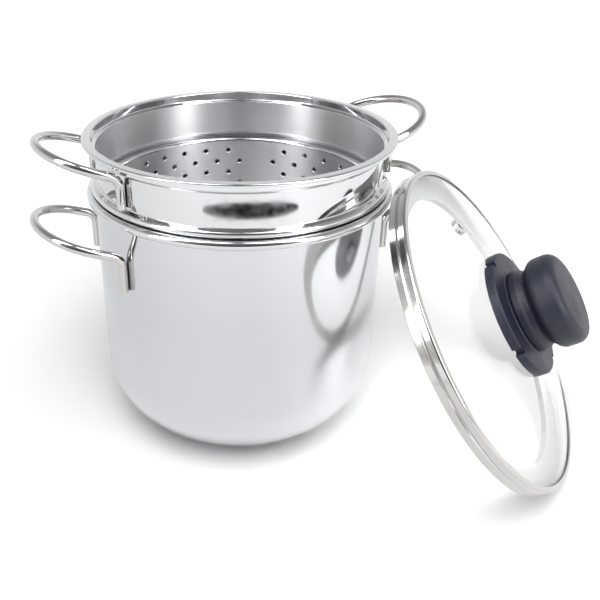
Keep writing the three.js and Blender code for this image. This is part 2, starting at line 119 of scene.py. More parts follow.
class ColanderSizes(bpy.types.PropertyGroup):
    rim_radius: length("Rim radius", "Outer edge of the flat rim", 108)
    rim_top: length("Rim top", "Height of the rim above the table", 225)
    rim_roll: length("Rim roll", "Section radius of the hemmed edge", 1.1)
    opening: length("Opening", "Inner edge of the flat rim", 101.7)
    ledge: length("Ledge", "Depth of the step below the rim", 6.8)
    collar: length("Collar", "Outer radius of the collar", 99.8)
    brim: length("Brim", "Outer radius of the folded brim", 104.2)
    brim_height: length("Brim height", "Height of the folded brim", 5.4)
    shoulder: length("Shoulder", "Fall of the shoulder from collar to basket", 1)
    basket: length("Basket", "Outer radius of the basket", 93.4)
    floor: length("Floor", "Inside of the basket's floor, above the table", 64)
    corner: length("Corner", "Radius of the basket's bottom corner", 30)
    hole: length("Hole", "Diameter of a perforation", 3.5)
    first_row: length("First row", "Top row below the shoulder", 9.5)
    row_pitch: length("Row pitch", "Between rows of holes", 9.3)
    floor_pitch: length("Floor pitch", "Between rings of holes in the floor", 24)
    rows: count("Rows", "Rows of holes in the wall", 8, 1)
    rings: count("Rings", "Rings of holes in the floor", 2, 0)
    panels: count("Panels", "Perforated panels round the wall", 3, 1)
    holes: count("Holes", "Holes in a panel's fuller rows", 10, 2)
    strip: degrees("Strip", "Heading of the first plain strip", 60)


class HandleSizes(bpy.types.PropertyGroup):
    wire: length("Wire", "Diameter of the handle wire", 6)
    spacing: length("Spacing", "Between the two welded feet", 79.6)
    bend: length("Bend", "Radius where a foot turns into the loop", 9)
    pot_reach: length("Pot reach", "From the pot's wall along the loop", 50)
    collar_reach: length("Collar reach", "From the collar along the loop", 45.6)
    tip: length("Tip", "Length of the loop's rounded end", 35.5)
    pot_height: length("Pot height", "Loop height at the pot's wall", 161.8)
    pot_foot: length("Pot foot", "Length of a foot on the pot", 24.8)
    collar_drop: length("Collar drop", "Loop below the colander's rim", 9.5)
    collar_foot: length("Collar foot", "Length of a foot on the collar", 20)
    rise: degrees("Rise", "Loop above level", 18.7)


class LidSizes(bpy.types.PropertyGroup):
    radius: length("Radius", "Outside of the steel band", 118)
    sheet: length("Sheet", "Steel of the band", 0.8)
    turn_over: length("Turn over", "Bend where the band turns over the glass", 1.6)
    grip: length("Grip", "Reach of the band over the glass", 3.8)
    groove_height: length("Groove height", "Rolled groove that carries the glass", 6)
    groove: length("Groove", "Depth of the groove", 1.1)
    shelf: length("Shelf", "Reach of the groove's shelf under the glass", 2.5)
    spigot: length("Spigot", "Depth of the turned-down edge", 3.5)
    spigot_play: length("Spigot play", "Play of that edge in the rim", 1.4)
    glass: length("Glass", "Thickness of the glass", 4)
    rise: length("Rise", "Rise of the dome", 19)
    seal: length("Seal", "Wall of the silicone strip", 0.9)
    bore: length("Bore", "Hole in the middle of the glass", 8)
    vent_place: length("Vent place", "Vent from the lid's axis", 73)
    vent_bore: length("Vent bore", "Bore of the eyelet", 4)
    vent_tube: length("Vent tube", "Outer diameter of the eyelet's tube", 7.2)
    vent_flange: length("Vent flange", "Diameter of the eyelet's flange", 12)
    vent_turn: degrees("Vent turn", "Heading of the vent on the lid", 176)


class KnobSizes(bpy.types.PropertyGroup):
    disc: length("Disc", "Radius of the wide disc", 44)
    edge: length("Edge", "Height of the disc's skirt", 6.2)
    crown: length("Crown", "Rise of the disc towards the grip", 1.8)
    notch_width: length("Notch width", "Width of a notch in the disc", 4.6)
    notch_depth: length("Notch depth", "Depth of a notch in the disc", 3.4)
    foot: length("Foot", "Radius of the grip's foot", 28.5)
    foot_height: length("Foot height", "Height of the grip's foot", 4.5)
    neck: length("Neck", "From the grip's foot up to its waist", 4.5)
    waist: length("Waist", "Radius of the grip's waist", 25.4)
    grip: length("Grip", "Largest radius of the grip", 31.5)
    height: length("Height", "Height of the grip", 33)
    round_edge: length("Round edge", "Rounding of the grip's top edge", 8)
    top_rise: length("Top rise", "Rise of the grip's top", 2.5)
    insert: length("Insert", "Diameter of the threaded insert", 9)
    insert_length: length("Insert length", "Length of the threaded insert", 17)
    notches: count("Notches", "Notches round the disc", 4, 0)
    notch_turn: degrees("Notch turn", "Heading of the first notch", 7.8)


class Finishes(bpy.types.PropertyGroup):
    satin: colour("Satin steel", "Brushed stainless of the pot", "D3D4D7")
    pickled: colour("Pickled steel", "Paler satin stainless inside the colander", "E4E4E6")
    polished: colour("Polished steel", "Polished stainless of collar and lip", "D6D7D9")
    # Painted shade: a darker, warmer copy of the polished steel, standing in for the darker surroundings
    # that wire and band reflect.
    bright: colour("Bright steel", "Greyer bright stainless of wire and band", "CAC8C6")
    glass: colour("Glass", "Tempered glass of the lid", "FEFFFE")
    resin: colour("Resin", "Moulded resin of the knob", "191D31")
    silicone: colour("Silicone", "Gasket and edge strip", "DADCDA")
    aluminium: colour("Aluminium", "Core of the base", "B9BBBD")
    brass: colour("Brass", "Insert in the knob", "B59A5A")
    floor: colour("Floor", "Pale studio floor", "F4F4F4")
    # The card paints a dark reflection into the polished steel and is hidden from everything else.
    card: colour("Card", "Dark card below the camera, seen in the polished steel", "18181A")
    satin_roughness: share("Satin roughness", "Roughness of the pot's brushed wall", 0.1)
    base_roughness: share("Base roughness", "Roughness of the brushed dish under the base", 0.11)
    inside_roughness: share("Inside roughness", "Roughness of the brushed steel inside", 0.36)
    inside_grain: share("Inside grain", "How far the brushing inside draws reflections out", 0.9)
    polish_roughness: share("Polish roughness", "Roughness of the polished collar and lip", 0.05)
    wire_roughness: share("Wire roughness", "Roughness of the polished handle wire", 0.065)
    band_roughness: share("Band roughness", "Roughness of the lid's polished band", 0.13)
    flange_roughness: share("Flange roughness", "Roughness of the satin flange under the glass", 0.5)
    eyelet_roughness: share("Eyelet roughness", "Roughness of the vent eyelet", 0.15)
    core_roughness: share("Core roughness", "Roughness of the rolled aluminium", 0.45)
    screw_roughness: share("Screw roughness", "Roughness of the turned screw and washer", 0.25)
    insert_roughness: share("Insert roughness", "Roughness of the turned brass", 0.3)
    moulded_roughness: share("Moulded roughness", "Roughness of resin and silicone", 0.5)


GROUPS = {
    "pasta_pot_body": PotSizes,
    "pasta_pot_colander": ColanderSizes,
    "pasta_pot_handles": HandleSizes,
    "pasta_pot_lid": LidSizes,
    "pasta_pot_knob": KnobSizes,
    "pasta_pot_finishes": Finishes,
}


# Modelling

def rounded(corners, closed=False, step=math.radians(15)):
    """An outline of (radius, height, fillet) corners as points, each corner turned in its fillet's arc."""
    number = len(corners)
    nearly_straight = 0.01
    half_side = 0.49
    outline = []
    for i, (r, z, fillet) in enumerate(corners):
        here = Vector((r, z))
        at_end = not closed and i in (0, number - 1)
        if fillet <= 0 or at_end:
            outline.append(here)
            continue
        before = Vector(corners[i - 1][:2]) - here
        after = Vector(corners[(i + 1) % number][:2]) - here
        opening = before.angle(after)
        if opening > math.pi - nearly_straight:
            outline.append(here)
            continue
        back = min(fillet / math.tan(opening / 2), half_side * before.length, half_side * after.length)
        fillet = back * math.tan(opening / 2)
        start = here + before.normalized() * back
        end = here + after.normalized() * back
        inwards = (before.normalized() + after.normalized()).normalized()
        centre = here + inwards * (fillet / math.sin(opening / 2))
        first = start - centre
        sweep = first.angle_signed(end - centre)
        steps = max(2, math.ceil(abs(sweep) / step))
        for k in range(steps + 1):
            turn = Matrix.Rotation(-sweep * k / steps, 2)
            outline.append(centre + turn @ first)
    return outline


def arc(centre, across, up, start, end, steps):
    """Points on an ellipse, angles in degrees."""
    points = []
    for k in range(steps + 1):
        angle = math.radians(start + (end - start) * k / steps)
        points.append(Vector((centre[0] + across * math.cos(angle), centre[1] + up * math.sin(angle))))
    return points


def start_piece(name):
    """One loose vertex at the origin, in edit mode, made from a primitive."""
    bpy.ops.object.select_all(action="DESELECT")
    bpy.ops.mesh.primitive_plane_add(size=MM)
    piece = bpy.context.object
    piece.name = name
    piece.data.name = name
    bpy.ops.object.mode_set(mode="EDIT")
    bpy.ops.mesh.select_mode(type="VERT")
    bpy.ops.mesh.select_all(action="SELECT")
    bpy.ops.mesh.merge(type="CENTER")
    return piece


def draw_line(name, points):
    """A chain of edges through the points, left in edit mode."""
    piece = start_piece(name)
    bpy.ops.transform.translate(value=points[0])
    here = Vector(points[0])
    for point in points[1:]:
        bpy.ops.mesh.extrude_region_move(TRANSFORM_OT_translate={"value": Vector(point) - here})
        here = Vector(point)
    return piece


def pick_faces(piece, test):
    """Leaves the piece in edit mode with only the faces that pass the test selected."""
    bpy.ops.object.mode_set(mode="EDIT")
    bpy.ops.mesh.select_mode(type="FACE")
    bpy.ops.mesh.select_all(action="DESELECT")
    bpy.ops.object.mode_set(mode="OBJECT")
    for face in piece.data.polygons:
        face.select = test(face)
    bpy.ops.object.mode_set(mode="EDIT")


def turn_piece(name, outline, steps, closed=False):
    """An outline of (radius, height) points spun round Z into a closed skin."""
    line = [(p[0], 0, p[1]) for p in outline]
    if closed:
        line.append(line[0])
    piece = draw_line(name, line)
    bpy.ops.mesh.select_all(action="SELECT")
    bpy.ops.mesh.spin(steps=steps, angle=TURN, center=(0, 0, 0), axis=(0, 0, 1))
    bpy.ops.mesh.select_all(action="SELECT")
    bpy.ops.mesh.remove_doubles(threshold=MERGE)
    bpy.ops.mesh.dissolve_degenerate(threshold=MERGE / 2)
    bpy.ops.mesh.select_all(action="SELECT")
    bpy.ops.mesh.normals_make_consistent(inside=False)
    bpy.ops.object.mode_set(mode="OBJECT")
    return piece


def only(piece):
    """Selects this piece alone and makes it the active one."""
    bpy.ops.object.select_all(action="DESELECT")
    piece.select_set(True)
    bpy.context.view_layer.objects.active = piece


def place(piece, matrix):
    """Moves a piece drawn on Z to where it belongs, with its place in its mesh."""
    only(piece)
    piece.matrix_world = matrix
    bpy.ops.object.transform_apply(location=True, rotation=True, scale=True)


def joined(name, parts):
    """The parts as one object."""
    only(parts[0])
    for part in parts[1:]:
        part.select_set(True)
    if len(parts) > 1:
        bpy.ops.object.join()
    parts[0].name = name
    return parts[0]


def punch_out(piece, cutter):
    """Takes the cutter's shape out of the piece and deletes the cutter."""
    only(piece)
    cut = piece.modifiers.new("Punch", "BOOLEAN")
    cut.operation = "DIFFERENCE"
    cut.solver = "MANIFOLD"
    cut.object = cutter
    bpy.ops.object.modifier_apply(modifier=cut.name)
    bpy.data.objects.remove(cutter, do_unlink=True)


def dress(piece, body, materials, nodes):
    """Shades a finished piece, gives it its materials and ties it to the frame."""
    only(piece)
    bpy.ops.object.shade_smooth_by_angle(angle=SMOOTH_ANGLE)
    even = piece.modifiers.new("Even shading", "WEIGHTED_NORMAL")
    even.keep_sharp = True
    bpy.ops.object.modifier_apply(modifier=even.name)
    piece.data.materials.clear()
    for material in materials:
        piece.data.materials.append(material)
    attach(piece, body)
    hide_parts(*nodes)


def paint(piece, index, test):
    """Gives the faces that pass the test another of the piece's materials."""
    for face in piece.data.polygons:
        if test(face.center, face.normal):
            face.material_index = index


# Materials

# Where most of a noise pattern's values lie
NOISE = (0.3, 0.7)
# A mix node that multiplies colours: they are its inputs 6 and 7, and its output 2
MULTIPLY = {"data_type": "RGBA", "blend_type": "MULTIPLY"}
SILICONE = {"grain_mm": 0.6, "ior": 1.41}
RESIN = {"grain_mm": 0.5, "ior": 1.55}


def put(tree, kind, feeds=None, **settings):
    """Adds a node. feeds maps an input to a value or to the output that drives it."""
    added = tree.nodes.new(kind)
    for key, value in settings.items():
        setattr(added, key, value)
    for key, source in (feeds or {}).items():
        if isinstance(source, bpy.types.NodeSocket):
            tree.links.new(source, added.inputs[key])
        else:
            added.inputs[key].default_value = source
    return added


def graded(value, low, high, first, last):
    """Inputs that turn a value between low and high into one between first and last."""
    return {"Value": value, "From Min": low, "From Max": high, "To Min": first, "To Max": last}


def pattern(spot, across, detail):
    """Inputs of a noise whose patches are this many millimetres across."""
    return {"Vector": spot, "Scale": 1 / (across * MM), "Detail": detail}


def opaque(rgb):
    """A colour with full alpha."""
    return (*rgb, 1)


def start_material(name):
    """A new material and its empty node tree."""
    material = bpy.data.materials.new(name)
    material.use_nodes = True
    material.node_tree.nodes.clear()
    return material, material.node_tree


def end_material(material, surface):
    """Shows a surface of these inputs on the material."""
    tree = material.node_tree
    shader = put(tree, "ShaderNodeBsdfPrincipled", surface)
    put(tree, "ShaderNodeOutputMaterial", {"Surface": shader.outputs["BSDF"]})
    return material


def brushed_metal(name, rgb, roughness, grain=0.5, matrix=None):
    """Sheet brushed in fine rings round its axis: a soft sheen, drawn out across the rings."""
    material, tree = start_material(name)
    turned = (matrix or Matrix()).inverted()
    spot = put(tree, "ShaderNodeTexCoord").outputs["Object"]
    feeds = {"Vector": spot, "Location": turned.translation, "Rotation": turned.to_euler("XYZ")}
    centred = put(tree, "ShaderNodeMapping", feeds).outputs["Vector"]
    # Brush rings are about 0.1 mm apart on the real sheet and are drawn 0.6 mm apart, so that they show.
    feeds = {"Vector": centred, "Scale": (9, 9, 1 / (0.6 * MM))}
    rings = put(tree, "ShaderNodeMapping", feeds).outputs["Vector"]
    feeds = {"Vector": rings, "Scale": 1.0, "Detail": 3.0, "Roughness": 0.6}
    lines = put(tree, "ShaderNodeTexNoise", feeds).outputs["Fac"]
    # Handling and polishing leave clouds about 40 mm across.
    clouds = put(tree, "ShaderNodeTexNoise", pattern(centred, 40, 2.0)).outputs["Fac"]
    mixed = put(tree, "ShaderNodeMath", {0: lines, 1: clouds}, operation="ADD").outputs["Value"]
    rough = put(tree, "ShaderNodeMapRange", graded(mixed, 0.6, 1.4, roughness * 0.82, roughness * 1.18))
    tone = put(tree, "ShaderNodeMapRange", graded(lines, *NOISE, 0.965, 1.0)).outputs["Result"]
    shade = put(tree, "ShaderNodeMix", {"Factor": 1.0, 6: opaque(rgb), 7: tone}, **MULTIPLY)
    bump = put(tree, "ShaderNodeBump", {"Height": lines, "Strength": 0.07, "Distance": 0.02 * MM})
    around = put(tree, "ShaderNodeTangent", direction_type="RADIAL", axis="Z")
    surface = {
        "Base Color": shade.outputs[2],
        "Metallic": 1.0,
        "Roughness": rough.outputs["Result"],
        "Anisotropic": grain,
        "Anisotropic Rotation": 0.25,
        "Tangent": around.outputs["Tangent"],
        "Normal": bump.outputs["Normal"],
    }
    return end_material(material, surface)


def polished_stainless(name, rgb, roughness):
    """Buffed stainless: a near mirror whose reflections waver with the drawn sheet."""
    material, tree = start_material(name)
    spot = put(tree, "ShaderNodeTexCoord").outputs["Object"]
    # The sheet waves by a few hundredths of a millimetre over about 25 mm.
    waves = put(tree, "ShaderNodeTexNoise", pattern(spot, 25, 1.0)).outputs["Fac"]
    # Buffing hazes are a few millimetres wide.
    haze = put(tree, "ShaderNodeTexNoise", pattern(spot, 6, 4.0)).outputs["Fac"]
    rough = put(tree, "ShaderNodeMapRange", graded(haze, *NOISE, roughness * 0.7, roughness * 1.4))
    bump = put(tree, "ShaderNodeBump", {"Height": waves, "Strength": 0.25, "Distance": 0.1 * MM})
    surface = {
        "Base Color": opaque(rgb),
        "Metallic": 1.0,
        "Roughness": rough.outputs["Result"],
        "Normal": bump.outputs["Normal"],
    }
    return end_material(material, surface)


def tempered_glass(name, rgb):
    """Pressed and tempered soda-lime glass: clear, with faint smears from wiping."""
    material, tree = start_material(name)
    spot = put(tree, "ShaderNodeTexCoord").outputs["Object"]
    # Wiping leaves smears about 30 mm across.
    smears = put(tree, "ShaderNodeTexNoise", pattern(spot, 30, 3.0)).outputs["Fac"]
    rough = put(tree, "ShaderNodeMapRange", graded(smears, 0.4, 0.7, 0.0, 0.03)).outputs["Result"]
    surface = {"Base Color": opaque(rgb), "Roughness": rough, "IOR": 1.52, "Transmission Weight": 1.0}
    return end_material(material, surface)


def moulded(name, rgb, roughness, grain_mm, ior):
    """Moulded resin or rubber: the tool's fine spark-eroded grain, softened by handling."""
    material, tree = start_material(name)
    spot = put(tree, "ShaderNodeTexCoord").outputs["Object"]
    grain = put(tree, "ShaderNodeTexNoise", pattern(spot, grain_mm, 2.0)).outputs["Fac"]
    # Handling wears the grain in patches about 18 mm across.
    wear = put(tree, "ShaderNodeTexNoise", pattern(spot, 18, 3.0)).outputs["Fac"]
    rough = put(tree, "ShaderNodeMapRange", graded(wear, *NOISE, roughness * 0.85, roughness * 1.1))
    tone = put(tree, "ShaderNodeMapRange", graded(grain, *NOISE, 0.9, 1.0)).outputs["Result"]
    shade = put(tree, "ShaderNodeMix", {"Factor": 1.0, 6: opaque(rgb), 7: tone}, **MULTIPLY)
    bump = put(tree, "ShaderNodeBump", {"Height": grain, "Strength": 0.35, "Distance": 0.05 * MM})
    surface = {
        "Base Color": shade.outputs[2],
        "Roughness": rough.outputs["Result"],
        "IOR": ior,
        "Normal": bump.outputs["Normal"],
    }
    return end_material(material, surface)


# Shapes shared by several pieces

class Shapes:
    """Heights and radii that follow from the sizes, in metres."""

    def __init__(self, scene):
        self.pot = scene.pasta_pot_body
        self.colander = scene.pasta_pot_colander
        self.handles = scene.pasta_pot_handles
        self.lid = scene.pasta_pot_lid
        self.knob = scene.pasta_pot_knob
        self.finishes = scene.pasta_pot_finishes
        pot, col, lid, knob = self.pot, self.colander, self.lid, self.knob
        self.pot_bottom = pot.cap_sheet + pot.core_height + 2 * pot.fit
        self.brim_bottom = pot.lip_top + pot.fit
        self.brim_top = self.brim_bottom + col.brim_height
        self.shoulder_top = self.brim_bottom + pot.sheet + col.shoulder
        self.basket_top = self.shoulder_top - col.shoulder
        # Holes sit in every other one of these facets of the basket.
        self.panel_facets = 2 * col.holes + 1
        self.facets = col.panels * self.panel_facets
        self.glass_radius = lid.radius - lid.sheet - lid.seal - 2 * pot.fit
        self.glass_foot = lid.groove_height + lid.sheet / 2 + pot.fit
        self.glass_edge = self.glass_foot + lid.glass
        self.dome_radius = (self.glass_radius**2 + lid.rise**2) / (2 * lid.rise)
        self.dome_centre = self.glass_edge + lid.rise - self.dome_radius
        self.disc_top = self.dome(knob.disc) + pot.fit + knob.edge
        self.grip_foot = self.disc_top + knob.crown + pot.fit

    def dome(self, radius):
        """Height of the glass's upper side at a radius."""
        return self.dome_centre + math.sqrt(self.dome_radius**2 - radius**2)

    def lid_matrix(self):
        """Where the CAD lid leans: its axes and the middle of its foot."""
        joint = next(j for j in frame["joints"] if j["name"] == "lid_lift")
        axis = Vector(joint["axis"]).normalized()
        points = [v.co for v in frame["nodes"]["lid_rim_band"].data.vertices]
        middle = sum(points, Vector()) / len(points)
        foot = min(p.dot(axis) for p in points) + self.lid.spigot
        centre = middle + axis * (foot - middle.dot(axis))
        level = Vector((0, 0, 1)).cross(axis).normalized()
        down = level.cross(axis)
        matrix = Matrix((down, level, axis)).transposed().to_4x4()
        matrix.translation = centre
        return matrix

    def vent_matrix(self):
        """The vent's place on the lid, square to the dome."""
        lid = self.lid
        tilt = math.asin(lid.vent_place / self.dome_radius)
        up = Matrix.Translation((lid.vent_place, 0, self.dome(lid.vent_place)))
        return Matrix.Rotation(lid.vent_turn, 4, "Z") @ up @ Matrix.Rotation(tilt, 4, "Y")


class PASTAPOT_OT_pot(bpy.types.Operator):
    """Model the pot's drawn body"""

    bl_idname = "pasta_pot.pot"
    bl_label = "Pot body"

    def execute(self, context):
        shapes = Shapes(context.scene)
        pot = shapes.pot
        bottom = shapes.pot_bottom
        inside = pot.radius - pot.sheet
        corner = (pot.flat, bottom + pot.corner)
        across = pot.radius - pot.flat
        lip = (inside + pot.lip_roll, pot.lip_top - pot.lip_roll)
        meet = math.degrees(math.asin((lip[0] - pot.radius) / pot.lip_roll))
        corner_steps, lip_steps, inner_steps = 24, 26, 20
        ring = pot.flat / 2
        floor = bottom + pot.sheet
        outline = [Vector((0, bottom)), Vector((ring, bottom))]
        outline += arc(corner, across, pot.corner, -90, 0, corner_steps)
        outline += arc(lip, pot.lip_roll, pot.lip_roll, 270 - meet, 540, lip_steps)
        outline += arc(corner, across - pot.sheet, pot.corner - pot.sheet, 0, -90, inner_steps)
        outline += [Vector((ring, floor)), Vector((0, floor))]
        body = turn_piece("pot_shell", outline, STEPS["pot"])
        finishes = shapes.finishes
        outside = brushed_metal("stainless_brushed", finishes.satin, finishes.satin_roughness)
        polish = polished_stainless("stainless_polished_lip", finishes.polished, finishes.polish_roughness)
        rough, grain = finishes.inside_roughness, finishes.inside_grain
        within = brushed_metal("stainless_brushed_inside", finishes.satin, rough, grain)
        dress(body, "pot", [outside, polish, within], ["pot_body"])
        edge = pot.lip_top - 2 * pot.lip_roll

        def is_inside(at, normal):
            return normal.z > 0.5 or Vector((at.x, at.y, 0)).dot(normal) < 0

        def is_lip(at, normal):
            return at.z >= edge and Vector((at.x, at.y)).length > inside

        paint(body, 2, is_inside)
        paint(body, 1, is_lip)
        return {"FINISHED"}


class PASTAPOT_OT_base(bpy.types.Operator):
    """Model the sandwich base: the aluminium core and the steel dish over it"""

    bl_idname = "pasta_pot.base"
    bl_label = "Sandwich base"

    def execute(self, context):
        shapes = Shapes(context.scene)
        pot, finishes = shapes.pot, shapes.finishes
        low = pot.cap_sheet + pot.fit
        pressed, dished, cut = 2 * MM, 2.6 * MM, 0.2 * MM
        core = rounded(
            [
                (0, low, 0),
                (pot.core_radius, low, pressed),
                (pot.core_radius, low + pot.core_height, 0.3 * MM),
                (0, low + pot.core_height, 0),
            ]
        )
        inside = pot.core_radius + pot.fit
        edge = shapes.pot_bottom - pot.fit
        cap = rounded(
            [
                (0, 0, 0),
                (inside + pot.cap_sheet, 0, dished),
                (inside + pot.cap_sheet, edge, cut),
                (inside, edge, cut),
                (inside, pot.cap_sheet, pressed),
                (0, pot.cap_sheet, 0),
            ]
        )
        core_piece = turn_piece("base_core", core, STEPS["core"])
        cap_piece = turn_piece("base_cap", cap, STEPS["cap"])
        metal = brushed_metal("aluminium_rolled", finishes.aluminium, finishes.core_roughness)
        steel = brushed_metal("stainless_brushed_base", finishes.satin, finishes.base_roughness)
        dress(core_piece, "pot", [metal], ["pot_base_core"])
        dress(cap_piece, "pot", [steel], ["pot_base_cap"])
        return {"FINISHED"}


def wire_line(handles, wall, height, foot, reach, fit):
    """Centre line of a handle on the +X side, from the end of one foot to the other."""
    half = handles.spacing / 2
    stand = wall + handles.wire / 2 + fit
    out = math.sqrt(stand**2 - half**2)
    rise = handles.rise
    tangent = handles.bend * math.tan((math.pi / 2 - rise) / 2)
    tip = reach - handles.tip

    def at(distance, side):
        """A point of the loop's plane."""
        return Vector((out + distance * math.cos(rise), side, height + distance * math.sin(rise)))

    centre = Vector((out + handles.bend, -half, height - tangent))
    points = [Vector((out, -half, height - foot)), Vector((out, -half, height - foot / 2 - tangent / 2))]
    bend_steps = 10
    for k in range(bend_steps + 1):
        angle = math.pi - (math.pi / 2 - rise) * k / bend_steps
        points.append(centre + handles.bend * Vector((math.cos(angle), 0, math.sin(angle))))
    loop_steps = 40
    for k in range(loop_steps + 1):
        angle = math.pi * k / loop_steps
        points.append(at(tip + handles.tip * math.sin(angle), -half * math.cos(angle)))
    feet = [Vector((p.x, -p.y, p.z)) for p in reversed(points[: bend_steps + 3])]
    return points + feet


def bend_wire(name, points, diameter):
    """A round wire along a line, with its cut ends closed."""
    draw_line(name, points)
    bpy.ops.object.mode_set(mode="OBJECT")
    bpy.ops.object.convert(target="CURVE")
    line = bpy.context.object.data
    line.bevel_depth = diameter / 2
    line.bevel_resolution = 6
    line.use_fill_caps = True
    bpy.ops.object.convert(target="MESH")
    piece = bpy.context.object
    bpy.ops.object.mode_set(mode="EDIT")
    bpy.ops.mesh.select_all(action="SELECT")
    bpy.ops.mesh.remove_doubles(threshold=MERGE)
    bpy.ops.mesh.normals_make_consistent(inside=False)
    bpy.ops.object.mode_set(mode="OBJECT")
    ends = piece.modifiers.new("Filed ends", "BEVEL")
    ends.limit_method = "ANGLE"
    ends.angle_limit = math.radians(60)
    ends.width = 0.1 * diameter
    ends.segments = 2
    bpy.ops.object.modifier_apply(modifier=ends.name)
    return piece


def make_handles(shapes, owner, wall, height, foot, reach, steel):
    """Bends the right and the left handle of the pot or the colander."""
    handles = shapes.handles
    line = wire_line(handles, wall, height, foot, reach, shapes.pot.fit)
    for side, turn in (("right", 0), ("left", math.pi)):
        spun = Matrix.Rotation(turn, 3, "Z")
        piece = bend_wire(f"{owner}_wire_{side}", [spun @ p for p in line], handles.wire)
        dress(piece, owner, [steel], [f"{owner}_handle_{side}"])


class PASTAPOT_OT_handles(bpy.types.Operator):
    """Bend the four wire handles"""

    bl_idname = "pasta_pot.handles"
    bl_label = "Wire handles"

    def execute(self, context):
        shapes = Shapes(context.scene)
        handles, finishes = shapes.handles, shapes.finishes
        # The wire takes the darker copy of the polished steel as painted shade.
        steel = polished_stainless("stainless_polished_wire", finishes.bright, finishes.wire_roughness)
        height, foot, reach = handles.pot_height, handles.pot_foot, handles.pot_reach
        make_handles(shapes, "pot", shapes.pot.radius, height, foot, reach, steel)
        height = shapes.colander.rim_top - handles.collar_drop
        foot, reach = handles.collar_foot, handles.collar_reach
        make_handles(shapes, "colander", shapes.colander.collar, height, foot, reach, steel)
        return {"FINISHED"}


